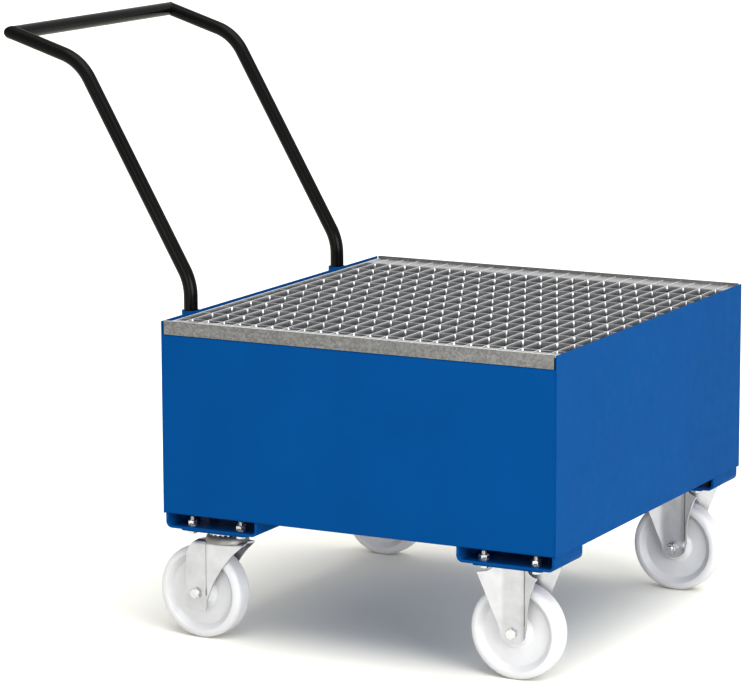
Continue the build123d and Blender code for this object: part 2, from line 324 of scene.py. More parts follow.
@dataclass(frozen=True)
class PowderCoat:
    """Baked powder paint with orange peel and a slow waviness of the sheet below."""

    name: str
    shade: Point
    worn: Point
    gloss: Flat
    shine: float
    peel: float = 0.00006

    def make(self) -> Material:
        """Return the paint.

        Returns:
            The paint's material.
        """
        bench = NodeBench(self.name)
        bench.colour(bench.mixed(bench.ranged(bench.noise(7, 4), 0, 1), self.shade, self.worn))
        bench.roughness(bench.ranged(bench.noise(45, 5), *self.gloss))
        bench.bump(bench.summed(bench.noise(650, 2), bench.noise(9, 1), 6.0), self.peel)
        bench.constants(Specular_IOR_Level=self.shine)
        return bench.material


@dataclass(frozen=True)
class HotDipZinc:
    """Hot-dip galvanising with crystals, dull patches and run marks along the bars, with tops painted lighter than
    sides as painted light and shade.
    """

    name: str
    # Painted light: the first pair of greys is painted on tops as painted light, the second, darker pair on sides
    # as painted shade.
    wiped: Flat
    side: Flat
    gloss: Flat
    crystal: float
    run: Point
    # level, low_share and bead paint lower tops darker as painted shade and lay a painted highlight along the
    # sides' upper part.
    level: float = 0.0
    low_share: float = 1.0
    bead: float = 0.0
    relief: float = 0.00018
    metal: float = 0.85

    def make(self) -> Material:
        """Return the zinc coat.

        Returns:
            The coat's material.
        """
        bench = NodeBench(self.name)
        crystals = bench.spangle(self.crystal)
        marks = bench.summed(crystals, bench.noise(60, 6, self.run), 1.4)
        spread = bench.ranged(marks, 0, 1, (0.4, 1.6))
        # Painted light and shade: up-facing tops take the light greys, sides the dark greys.
        tops = bench.mixed(spread, (self.wiped[0],) * 3, (self.wiped[1],) * 3)
        sides = bench.mixed(spread, (self.side[0],) * 3, (self.side[1],) * 3)
        bench.colour(bench.blended(bench.upward(self.level, self.low_share, self.bead), sides, tops))
        grain = bench.summed(crystals, bench.noise(160, 4), 1.0)
        bench.roughness(bench.ranged(grain, *self.gloss, (0.2, 1.6)))
        bench.bump(bench.summed(bench.noise(240, 4), bench.noise(60, 3, self.run), 1.5), self.relief)
        bench.constants(Metallic=self.metal)
        return bench.material


@dataclass(frozen=True)
class Plating:
    """Thin electroplated zinc or polished steel with fine drawing marks."""

    name: str
    light: Point
    dull: Point
    gloss: Flat
    depth: float
    metal: float = 0.95

    def make(self) -> Material:
        """Return the plated metal.

        Returns:
            The metal's material.
        """
        bench = NodeBench(self.name)
        bench.colour(bench.mixed(bench.ranged(bench.noise(38, 6), 0, 1), self.light, self.dull))
        bench.roughness(bench.ranged(bench.noise(220, 5, (1, 1, 6)), *self.gloss))
        bench.bump(bench.summed(bench.noise(500, 3), bench.noise(70, 2), 1.0), self.depth)
        bench.constants(Metallic=self.metal)
        return bench.material


@dataclass(frozen=True)
class MouldedPlastic:
    """Cast polyamide with a faint flow pattern and a satin skin."""

    name: str
    light: Point
    dull: Point
    gloss: Flat = (0.34, 0.52)
    relief: float = 0.00007
    glow: float = 0.12
    glow_depth: float = 0.004

    def make(self) -> Material:
        """Return the plastic.

        Returns:
            The plastic's material.
        """
        bench = NodeBench(self.name)
        bench.colour(bench.mixed(bench.ranged(bench.noise(22, 5), 0, 1), self.light, self.dull))
        bench.roughness(bench.ranged(bench.noise(120, 4), *self.gloss))
        bench.bump(bench.noise(420, 4), self.relief)
        bench.constants(Subsurface_Weight=self.glow, Subsurface_Scale=self.glow_depth, IOR=1.52)
        return bench.material


@dataclass(frozen=True)
class StudioPaper:
    """Matt white floor, a little warm so that blue paint doesn't tint its shadow."""

    name: str
    white: Point

    def make(self) -> Material:
        """Return the floor's finish.

        Returns:
            The floor's material.
        """
        bench = NodeBench(self.name)
        low = tuple(share - 0.01 for share in self.white)
        bench.colour(bench.mixed(bench.noise(2, 2), self.white, low))
        bench.constants(Roughness=0.9, Specular_IOR_Level=0.1)
        return bench.material


# --- mesh work -------------------------------------------------------------------------------------
def placed(name: str, data: bpy.types.ID) -> bpy.types.Object:
    """Put a new object into the scene.

    Args:
        name: the object's name.
        data: its mesh, light or camera.

    Returns:
        The object.
    """
    made = bpy.data.objects.new(name, data)
    bpy.context.scene.collection.objects.link(made)
    return made


class Blank:
    """Points and faces of one piece while it is being made."""

    def __init__(self) -> None:
        """Start with nothing."""
        self.points: list[Point] = []
        self.faces: list[tuple[int, ...]] = []
        self.marks: list[int] = []

    def loft(self, rings: list[Ring], looped: bool = False) -> "Blank":
        """Join closed rings of equal count in order.

        Args:
            rings: the sections.
            looped: join the last ring to the first, instead of closing both.

        Returns:
            This blank.
        """
        start, count = len(self.points), len(rings[0])
        for ring in rings:
            self.points.extend(tuple(p) for p in ring)
        last = len(rings) if looped else len(rings) - 1
        for i in range(last):
            a, b = start + i * count, start + (i + 1) % len(rings) * count
            for k in range(count):
                n = (k + 1) % count
                self.faces.append((a + k, a + n, b + n, b + k))
        if not looped:
            self.faces.append(tuple(range(start, start + count)))
            end = start + (len(rings) - 1) * count
            self.faces.append(tuple(range(end, end + count)))
        return self

    def shade(self, first: int, column: int, around: int, rows: range) -> None:
        """Mark one column of a lofted sheet to be darkened, as painted shade along a crease.

        Args:
            first: the sheet's first face.
            column: the column's number.
            around: faces in each row.
            rows: the rows to mark.
        """
        self.marks.extend(first + row * around + column for row in rows)

    def block(self, low: Point, high: Point) -> "Blank":
        """Add a rectangular bar between two corners."""
        corners = [(low[0], low[1]), (high[0], low[1]), (high[0], high[1]), (low[0], high[1])]
        return self.loft([[(x, y, z) for x, y in corners] for z in (low[2], high[2])])

    def take(self, other: "Blank") -> None:
        """Add another blank's points and faces.

        Args:
            other: the blank to add.
        """
        base = len(self.points)
        self.points += other.points
        self.faces += [tuple(v + base for v in f) for f in other.faces]

    def moved(self, matrix: Matrix) -> "Blank":
        """Move every point made so far."""
        self.points = [tuple(matrix @ Vector(p)) for p in self.points]
        return self

    def piece(self, name: str, bevel: float = 0.0, sharp: float = CRISP) -> bpy.types.Object:
        """Turn the blank into an object.

        Args:
            name: the piece's name.
            bevel: width of its broken edges in metres, or none.
            sharp: edges above this many degrees stay crisp.

        Returns:
            The object, in the scene.
        """
        mesh = bpy.data.meshes.new(name)
        mesh.from_pydata(self.points, [], self.faces)
        # Marked faces take the second material, painted shade.
        for face in self.marks:
            mesh.polygons[face].material_index = 1
        work = bmesh.new()
        work.from_mesh(mesh)
        bmesh.ops.remove_doubles(work, verts=work.verts, dist=1e-7)
        bmesh.ops.recalc_face_normals(work, faces=work.faces)
        work.to_mesh(mesh)
        work.free()
        mesh.shade_smooth()
        mesh.set_sharp_from_angle(angle=math.radians(sharp))
        made = placed(name, mesh)
        if bevel:
            broken_edges(made, bevel)
        return made


def broken_edges(made: bpy.types.Object, width: float) -> None:
    """Round an object's crisp edges.

    Args:
        made: the object.
        width: the rounding's width in metres.
    """
    modifier = made.modifiers.new("broken_edges", "BEVEL")
    modifier.width = width
    modifier.segments = 2
    modifier.limit_method = "ANGLE"
    modifier.angle_limit = math.radians(CRISP)
    modifier.harden_normals = True


def rounded(corners: list[Point], steps: int = 5, closed: bool = True) -> list[Flat]:
    """Round the corners of a flat outline.

    Args:
        corners: each corner's two coordinates and its radius.
        steps: points on each arc.
        closed: whether the outline returns to its start.

    Returns:
        The outline's points.
    """
    made: list[Flat] = []
    for k, (x, y, radius) in enumerate(corners):
        if radius <= 0 or (not closed and k in (0, len(corners) - 1)):
            made.append((x, y))
            continue
        here = Vector((x, y))
        back = (Vector(corners[k - 1][:2]) - here).normalized()
        ahead = (Vector(corners[(k + 1) % len(corners)][:2]) - here).normalized()
        half = back.angle(ahead) / 2
        centre = here + (back + ahead).normalized() * (radius / math.sin(half))
        first = here + back * (radius / math.tan(half)) - centre
        last = here + ahead * (radius / math.tan(half)) - centre
        turn = first.angle_signed(last)
        for i in range(steps + 1):
            spun = first.copy()
            spun.rotate(Matrix.Rotation(-turn * i / steps, 2))
            made.append(tuple(centre + spun))
    return made


def circle(radius: float, z: float, count: int = 48) -> Ring:
    """Return a level ring about the Z axis."""
    return [(radius * math.cos(2 * math.pi * k / count), radius * math.sin(2 * math.pi * k / count), z)
            for k in range(count)]


def hexagon(flats: float, z: float, limit: float = 1.0, count: int = 48) -> Ring:
    """Return a hexagon ring about the Z axis.

    Args:
        flats: width across the flats.
        z: its level.
        limit: radius that its corners are turned down to.
        count: points on the ring.

    Returns:
        The ring.
    """
    ring = []
    for k in range(count):
        a = 2 * math.pi * k / count
        lobe = (a + math.pi / 6) % (math.pi / 3) - math.pi / 6
        r = min(flats / 2 / math.cos(lobe), limit)
        ring.append((r * math.cos(a), r * math.sin(a), z))
    return ring


def thread(radius: float, pitch: float, low: float, high: float, count: int = 48) -> list[Ring]:
    """Make the rings of a screw thread about the Z axis, with a chamfered end.

    Args:
        radius: the thread's outer radius.
        pitch: distance between turns.
        low: where it starts.
        high: where it ends.
        count: points on each ring.

    Returns:
        The rings, from low to high.
    """
    rings = []
    depth, steps = 0.54 * pitch, max(8, round((high - low) / pitch * 8))
    for i in range(steps + 1):
        z = low + (high - low) * i / steps
        limit = radius - max(0.0, z - (high - 0.7 * pitch)) * 0.9
        ring = []
        for k in range(count):
            a = 2 * math.pi * k / count
            phase = ((z - low) / pitch - k / count) % 1.0
            crest = min(1.0, abs(phase - 0.5) * 2.5)
            r = min(limit, radius - depth * (1 - crest))
            ring.append((r * math.cos(a), r * math.sin(a), z))
        rings.append(ring)
    return rings


def bead(blank: Blank, path: list[Vector], size: float, seed: int, ripple: float = 0.0028) -> None:
    """Add a weld bead with its ripples along a path.

    Args:
        blank: where the bead goes.
        path: the seam's points.
        size: the bead's radius.
        seed: for its unevenness.
        ripple: distance between ripples.
    """
    chance = random.Random(seed)
    rings: list[Ring] = []
    travelled = 0.0
    for a, b in zip(path, path[1:]):
        length = (b - a).length
        ahead = (b - a).normalized()
        side = ahead.orthogonal().normalized()
        up = ahead.cross(side)
        steps = max(2, round(length / ripple * 4))
        for i in range(steps + (b is path[-1])):
            s = travelled + length * i / steps
            saw = (s / ripple) % 1.0
            r = size * (0.84 + 0.2 * math.sin(math.pi * saw)) * chance.uniform(0.96, 1.04)
            centre = a + ahead * (length * i / steps)
            turns = [t * math.pi / 5 for t in range(10)]
            rings.append([tuple(centre + (side * math.cos(t) + up * math.sin(t)) * r) for t in turns])
        travelled += length
    blank.loft(rings)


# --- workshop --------------------------------------------------------------------------------------
@dataclass
class Workshop:
    """Finishes in use, and where each CAD node rides."""

    finishes: dict[Slot, Material]
    # The extra zincs carry painted light: a painted highlight on the strips' top edge, near-white runs as painted
    # highlight, darker cross bars and a darker pressed zinc as painted shade.
    dull_zinc: Material
    run_zinc: Material
    cross_zinc: Material
    shaded_zinc: Material
    body_of: dict[str, str]

    def dress(self, node: str, slot: Slot, edge: float = 0.0) -> None:
        """Give a CAD node its finish and broken edges.

        Args:
            node: the node's name.
            slot: its finish.
            edge: width of its broken edges, or none.
        """
        made = frame["nodes"][node]
        made.data.materials.clear()
        made.data.materials.append(self.finishes[slot])
        if edge:
            weld = made.modifiers.new("joined_faces", "WELD")
            weld.merge_threshold = 0.00001
            broken_edges(made, edge)

    def paint_above(self, made: bpy.types.Object, level: float) -> None:
        """Paint the faces that lie wholly above a level blue.

        Args:
            made: the object.
            level: the level in metres.
        """
        made.data.materials.append(self.finishes[Slot.BLUE])
        points = made.data.vertices
        for face in made.data.polygons:
            if all((made.matrix_world @ points[v].co).z > level for v in face.vertices):
                face.material_index = len(made.data.materials) - 1

    def fit(self, made: bpy.types.Object, slot: Slot, node: str, replaces: bool = True) -> None:
        """Finish a new piece and let it ride where a CAD node rides.

        Args:
            made: the new piece.
            slot: its finish.
            node: the CAD node that it belongs with.
            replaces: whether it stands for that node.
        """
        made.data.materials.append(self.finishes[slot])
        # Faces marked in a blank take the darker zinc, painted shade.
        if any(face.material_index for face in made.data.polygons):
            made.data.materials.append(self.shaded_zinc)
        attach(made, self.body_of[node])
        if replaces:
            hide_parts(node)


def joint_of(name: str) -> dict:
    """Return a joint of the frame by its name."""
    return next(joint for joint in frame["joints"] if joint["name"] == name)


def corners_of(node: str) -> tuple[Vector, Vector, Vector]:
    """Return a CAD node's lowest corner, highest corner and centre."""
    low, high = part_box(node)
    return low, high, (low + high) / 2


@dataclass
class SumpTray:
    """Folded trough, two end walls, four channels, two handle sockets and their welds."""

    shop: Workshop
    wall: float = 3 * MM
    edge: float = 0.7 * MM
    bead_size: float = 1.9 * MM
    stitch: float = 42 * MM
    stitch_shift: float = 36 * MM
    seam_offset: float = 8.6 * MM
    seam_ends: Flat = (6 * MM, 10 * MM)

    def build(self) -> None:
        """Make and dress the tray."""
        self.shop.dress("sump_trough", Slot.BLUE)
        for node in ("end_wall_front", "end_wall_handle", "handle_socket_left", "handle_socket_right"):
            self.shop.dress(node, Slot.BLUE, self.edge)
        for end in ("front", "rear"):
            for side in Side:
                self.shop.dress(f"caster_channel_{end}_{side.word}", Slot.BLUE, self.edge)
        self.inner_seams()
        self.socket_seams()
        self.channel_seams()
        log.info("tray: trough, end walls, channels, sockets and welds")

    def inner_seams(self) -> None:
        """Weld the end walls into the trough."""
        low, high, _ = corners_of("sump_trough")
        blank = Blank()
        floor, side = low.z + self.wall, high.y - self.wall
        for number, x in enumerate((low.x, high.x)):
            top = high.z - 4 * self.wall
            path = [Vector((x, y, z)) for y, z in ((-side, top), (-side, floor), (side, floor), (side, top))]
            bead(blank, path, self.bead_size, 10 + number)
        self.shop.fit(blank.piece("sump_corner_welds"), Slot.BLUE, "sump_trough", False)

    def socket_seams(self) -> None:
        """Weld each socket to the end wall with two stitches on each side."""
        blank = Blank()
        wall = corners_of("end_wall_handle")[0]
        for number, side in enumerate(Side):
            low, high, centre = corners_of(f"handle_socket_{side.word}")
            for sign in (-1, 1):
                for start in (low.z + self.seam_ends[0], high.z - self.stitch - self.seam_ends[1]):
                    y = centre.y + sign * self.seam_offset
                    path = [Vector((wall.x, y, start)), Vector((wall.x, y, start + self.stitch))]
                    bead(blank, path, self.bead_size, 20 + number)
        self.shop.fit(blank.piece("socket_welds"), Slot.BLUE, "end_wall_handle", False)

    def channel_seams(self) -> None:
        """Stitch the channels' flanges to the tray's bottom."""
        blank = Blank()
        for end in ("front", "rear"):
            for side in Side:
                low, high, centre = corners_of(f"caster_channel_{end}_{side.word}")
                for x in (low.x, high.x):
                    for shift in (-self.stitch_shift, self.stitch_shift):
                        path = [Vector((x, centre.y + shift - self.stitch / 2, high.z)),
                                Vector((x, centre.y + shift + self.stitch / 2, high.z))]
                        bead(blank, path, self.bead_size, int(1000 * abs(x)))
        self.shop.fit(blank.piece("channel_welds"), Slot.BLUE, "sump_trough", False)


@dataclass
class Grating:
    """Lift-off deck: pressed bars, bands and edge strips, with the zinc that gathers at the crossings."""

    shop: Workshop
    bar_pitch: float = 34.3 * MM
    cross_pitch: float = 74.4 * MM
    bar: float = 2 * MM
    cross_drop: float = 0.5 * MM
    edge: float = 0.3 * MM
    run_size: Flat = (1.8, 2.6)
    run_depth: Flat = (11.0, 16.0)
    run_start: float = 0.2 * MM
    run_waist: float = 0.42
    run_seat: float = 0.48
    run_taper: tuple[Flat, ...] = ((0.0, 0.35), (0.15, 0.9), (0.6, 1.0), (0.9, 0.7), (1.0, 0.25))

    def places(self, low: float, high: float, pitch: float) -> list[float]:
        """Return the centres of bars at a pitch that fill the given span.

        Args:
            low: the span's start.
            high: the span's end.
            pitch: distance between centres.

        Returns:
            The centres.
        """
        count = round((high - low - self.bar) / pitch)
        middle = (low + high) / 2
        return [middle + (k - count / 2) * pitch for k in range(count + 1)]

    def build(self) -> None:
        """Make and dress the deck."""
        for node in ("bearing_bars", "cross_bars", "end_bands"):
            self.shop.dress(node, Slot.GALVANISED, self.edge)
        # The cross bars take a darker copy of the bars' zinc, painted shade.
        frame["nodes"]["cross_bars"].data.materials[0] = self.shop.cross_zinc
        for side in Side:
            node = f"edge_strip_{side.word}"
            self.shop.dress(node, Slot.GALVANISED, self.edge)
            # The strips take a zinc whose top edge is a painted highlight and whose faces and lower leg are
            # painted darker as painted shade.
            frame["nodes"][node].data.materials[0] = self.shop.dull_zinc
        self.gathered_zinc()
        log.info("deck: bars, bands, strips and crossings")

    def gather(self, blank: Blank, at: Point, way: tuple[int, int], chance: random.Random) -> None:
        """Add the run of zinc in one corner of a crossing.

        Args:
            blank: where the run goes.
            at: the crossing.
            way: the signs of X and Y that point into the corner.
            chance: for its size.
        """
        (x, y, top), (i, j) = at, way
        size, deep = chance.uniform(*self.run_size) * MM, chance.uniform(*self.run_depth) * MM
        cx, cy = x + i * self.bar * self.run_seat, y + j * self.bar * self.run_seat
        rings = []
        for share, width in self.run_taper:
            r, z = size * width, top - self.run_start - deep * share
            waist = (cx + i * r * self.run_waist, cy + j * r * self.run_waist, z)
            rings.append([(cx, cy, z), (cx + i * r, cy, z), waist, (cx, cy + j * r, z)])
        blank.loft(rings)

    def gathered_zinc(self) -> None:
        """Fill the four corners of each crossing with a small uneven run of zinc."""
        chance = random.Random(7)
        bars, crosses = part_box("bearing_bars"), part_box("cross_bars")
        top = bars[1].z - self.cross_drop
        blank = Blank()
        for x in self.places(bars[0].x, bars[1].x, self.bar_pitch):
            for y in self.places(crosses[0].y, crosses[1].y, self.cross_pitch):
                for i in (-1, 1):
                    for j in (-1, 1):
                        self.gather(blank, (x, y, top), (i, j), chance)
        made = blank.piece("gathered_zinc", sharp=60)
        self.shop.fit(made, Slot.GALVANISED, "bearing_bars", False)
        # The modelled zinc runs are coloured near-white, a painted highlight at each crossing.
        made.data.materials[0] = self.shop.run_zinc


@dataclass
class PushHandle:
    """Bent tube legs and grip bar joined at mitred corners."""

    shop: Workshop
    tube: float = 27 * MM
    wall: float = 2 * MM
    rise: float = 51 * MM
    slope: float = math.radians(30)
    run: float = 476.3 * MM
    grip_slope: float = math.radians(17.5)
    grip_arm: float = 158.2 * MM
    bend: float = 100 * MM
    bend_steps: int = 22
    weld: float = 1.0 * MM
    weld_sink: float = 0.5 * MM
    weld_ripple: float = 0.002
    around: int = 56

    def build(self) -> None:
        """Make and dress the handle."""
        for side in Side:
            self.leg(side)
        self.grip()
        self.corner_welds()
        log.info("handle: two legs, grip bar and corner welds")

    def corners(self) -> list[Flat]:
        """Return the centreline's corners in X and Z, from the foot to the grip bar.

        Returns:
            Foot, lower bend, upper bend and grip.
        """
        foot = (corners_of("handle_socket_left")[2].x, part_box("handle_leg_left")[0].z)
        lower = (foot[0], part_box("end_wall_handle")[1].z + self.rise)
        upper = (lower[0] - self.run * math.sin(self.slope), lower[1] + self.run * math.cos(self.slope))
        grip = (upper[0] - self.grip_arm * math.cos(self.grip_slope),
                upper[1] + self.grip_arm * math.sin(self.grip_slope))
        return [foot, lower, upper, grip]

    def frames(self) -> list[tuple[Vector, Vector]]:
        """Return centres and directions along one leg, its bends included.

        Returns:
            Each centre with its direction.
        """
        corners = [(*c, self.bend if 0 < k < 3 else 0.0) for k, c in enumerate(self.corners())]
        line = rounded(corners, self.bend_steps, closed=False)
        points = [Vector((x, 0, z)) for x, z in line]
        made = []
        for k, p in enumerate(points):
            back = points[max(k - 1, 0)]
            ahead = points[min(k + 1, len(points) - 1)]
            made.append((p, (ahead - back).normalized()))
        return made

    def section(self, centre: Vector, ahead: Vector, radius: float) -> Ring:
        """Return the tube's ring square to its direction.

        Args:
            centre: the ring's centre.
            ahead: the tube's direction.
            radius: the ring's radius.

        Returns:
            The ring.
        """
        up = Vector((0, 1, 0)).cross(ahead).normalized()
        ring = []
        for k in range(self.around):
            a = 2 * math.pi * k / self.around
            ring.append(tuple(centre + (Vector((0, 1, 0)) * math.cos(a) + up * math.sin(a)) * radius))
        return ring

    def mitred(self, ring: Ring, ahead: Vector, corner: Vector, normal: Vector) -> Ring:
        """Slide a ring's points along the tube onto the mitre."""
        return [tuple(Vector(p) + ahead * ((corner - Vector(p)).dot(normal) / ahead.dot(normal)))
                for p in ring]

    def leg(self, side: Side) -> None:
        """Make one leg.

        Args:
            side: which leg.
        """
        node = f"handle_leg_{side.word}"
        y = corners_of(f"handle_socket_{side.word}")[2].y
        frames = self.frames()
        corner, arm = frames[-1]
        normal = arm + Vector((0, -side.value, 0))
        rings = []
        for radius in (self.tube / 2, self.tube / 2 - self.wall):
            skin = [self.section(p, d, radius) for p, d in frames[:-1]]
            skin.append(self.mitred(self.section(corner, arm, radius), arm, corner, normal))
            rings.append(skin)
        loop = rings[0] + rings[1][::-1]
        blank = Blank().loft(loop, looped=True).moved(Matrix.Translation((0, y, 0)))
        self.shop.fit(blank.piece(node + "_tube"), Slot.BLACK, node)

    def grip(self) -> None:
        """Make the bar between the legs."""
        frames = self.frames()
        corner, arm = frames[-1]
        reach = corners_of("handle_socket_left")[2].y
        across = Vector((0, 1, 0))
        up = arm.cross(across).normalized()
        rings = []
        for radius in (self.tube / 2, self.tube / 2 - self.wall):
            skin = []
            for share in (-1, -0.5, 0, 0.5, 1):
                centre = Vector((corner.x, reach * share, corner.z))
                ring = [tuple(centre + (arm * math.cos(2 * math.pi * k / self.around)
                                        + up * math.sin(2 * math.pi * k / self.around)) * radius)
                        for k in range(self.around)]
                if abs(share) == 1:
                    ring = self.mitred(ring, across, centre, arm + Vector((0, -share, 0)))
                skin.append(ring)
            rings.append(skin)
        blank = Blank().loft(rings[0] + rings[1][::-1], looped=True)
        self.shop.fit(blank.piece("grip_tube"), Slot.BLACK, "handle_grip_bar")

    def corner_welds(self) -> None:
        """Lay a low dressed bead round each mitre."""
        frames = self.frames()
        corner, arm = frames[-1]
        blank = Blank()
        for number, side in enumerate(Side):
            y = corners_of(f"handle_socket_{side.word}")[2].y
            ring = self.mitred(self.section(corner, arm, self.tube / 2 - self.weld_sink), arm, corner,
                               arm + Vector((0, -side.value, 0)))
            path = [Vector(p) + Vector((0, y, 0)) for p in ring]
            bead(blank, path + path[:1], self.weld, 60 + number, self.weld_ripple)
        self.shop.fit(blank.piece("handle_corner_welds"), Slot.BLACK, "handle_grip_bar", False)


@dataclass
class HexFastener:
    """Hexagon bolts and nuts with chamfers, a washer face and a rolled thread."""

    diameter: float
    pitch: float
    flats: float
    head: float

    def bolt(self, tip: float) -> Blank:
        """Make a bolt whose head lies below z = 0 and whose thread ends at tip.

        Args:
            tip: the thread's end.

        Returns:
            The bolt.
        """
        corner = self.flats / 2 / math.cos(math.pi / 6)
        low, face = -self.head, self.flats / 2 * 0.95
        rings = [circle(0.3 * MM, low), circle(face * 0.9, low),
                 hexagon(self.flats, low + 0.1 * MM, face * 0.98),
                 hexagon(self.flats, low + 1.3 * MM, corner), hexagon(self.flats, -0.6 * MM, corner),
                 circle(face, -0.5 * MM), circle(face, 0), circle(self.diameter / 2, 0)]
        rings += thread(self.diameter / 2, self.pitch, 0.2 * MM, tip)
        rings.append(circle(self.diameter / 2 * 0.6, tip))
        return Blank().loft(rings)

    def nut(self, low: float, high: float) -> Blank:
        """Make a nut between two levels.

        Args:
            low: its lower face.
            high: its upper face.

        Returns:
            The nut.
        """
        corner, bore = self.flats / 2 / math.cos(math.pi / 6), self.diameter / 2
        face = self.flats / 2 * 0.96
        rings = [circle(bore + 0.1 * MM, low + 0.8 * MM), circle(bore + 0.9 * MM, low), circle(face, low),
                 hexagon(self.flats, low + 0.9 * MM, corner), hexagon(self.flats, high - 0.9 * MM, corner),
                 circle(face, high), circle(bore + 0.9 * MM, high), circle(bore + 0.1 * MM, high - 0.8 * MM)]
        return Blank().loft(rings, looped=True)


@dataclass
class Wheel:
    """Moulded wheel with a stepped rim, a dished face and a wide hub."""

    shop: Workshop
    radius: float = 90.0
    tread: float = 22.5
    shoulder: float = 11.0
    hub: float = 25.0
    hub_half: float = 27.0
    bore: float = 15.0
    web: float = 11.25
    around: int = 128

    def outline(self) -> list[Flat]:
        """Return the rounded half section as radius and offset in millimetres, closed through the bore.

        Returns:
            The section's points.
        """
        r = self.radius
        half = [(self.bore, self.hub_half, 0.5), (self.hub, self.hub_half, 1.4),
                (self.hub + 3, self.web + 4, 1.5), (self.hub + 9, self.web, 4.0),
                (0.72 * r, self.web, 4.0), (0.81 * r, self.tread - 3, 1.4),
                (0.84 * r, self.tread, 1.2), (r, self.tread, self.shoulder)]
        return rounded(half + [(a, -b, c) for a, b, c in reversed(half)], 7)

    def build(self, corner: str) -> None:
        """Make one wheel on its joint's axis.

        Args:
            corner: the end and side, as the nodes have it.
        """
        joint = joint_of(f"roll_{corner}")
        turn = Vector((0, 1, 0)).rotation_difference(Vector(joint["axis"])).to_matrix().to_4x4()
        rings = []
        for k in range(self.around):
            a = 2 * math.pi * k / self.around
            rings.append([(r * math.cos(a) * MM, y * MM, r * math.sin(a) * MM) for r, y in self.outline()])
        blank = Blank().loft(rings, looped=True).moved(Matrix.Translation(joint["pos_m"]) @ turn)
        self.shop.fit(blank.piece(f"wheel_{corner}_moulding", sharp=50), Slot.WHITE, f"wheel_{corner}")
        self.shop.dress(f"wheel_bearing_{corner}", Slot.BEARING)


def ramp(distance: float, blend: float) -> float:
    """Return how far past a bend line a point lies, eased over the bend's width.

    Args:
        distance: how far past the bend's start.
        blend: the bend's width.

    Returns:
        The eased distance.
    """
    if distance <= 0:
        return 0.0
    return distance * distance / (2 * blend) if distance < blend else distance - blend / 2


def columns(back: float, front: float, crease: float, half: float, count: int) -> list[float]:
    """Share columns over a sheet's width so that two of them bound its crease.

    Args:
        back: one edge of the sheet.
        front: the other edge.
        crease: the middle of the crease.
        half: half the crease's width.
        count: the number of columns.

    Returns:
        The columns' places.
    """
    half = min(half, (front - back) / 12)
    crease = min(crease, front - 2 * half)
    rear = count // 2
    low, high = crease - half, crease + half
    ahead = count - rear
    return ([back + (low - back) * k / (rear - 1) for k in range(rear)]
            + [high + (front - high) * k / (ahead - 1) for k in range(ahead)])


def between(table: Sequence[Flat], at: float) -> float:
    """Read a smooth value from a table of places and values.

    Args:
        table: places in rising order with their values.
        at: the place to read.

    Returns:
        The value there.
    """
    if at <= table[0][0]:
        return table[0][1]
    for k in range(len(table) - 1):
        (a, u), (b, v) = table[k], table[k + 1]
        if at <= b:
            before = table[k - 1] if k else (2 * a - b, 2 * u - v)
            after = table[k + 2] if k + 2 < len(table) else (2 * b - a, 2 * v - u)
            m = (v - before[1]) / (b - before[0]) * (b - a)
            n = (after[1] - u) / (after[0] - a) * (b - a)
            t = (at - a) / (b - a)
            return ((2 * t**3 - 3 * t**2 + 1) * u + (t**3 - 2 * t**2 + t) * m
                    + (3 * t**2 - 2 * t**3) * v + (t**3 - t**2) * n)
    return table[-1][1]


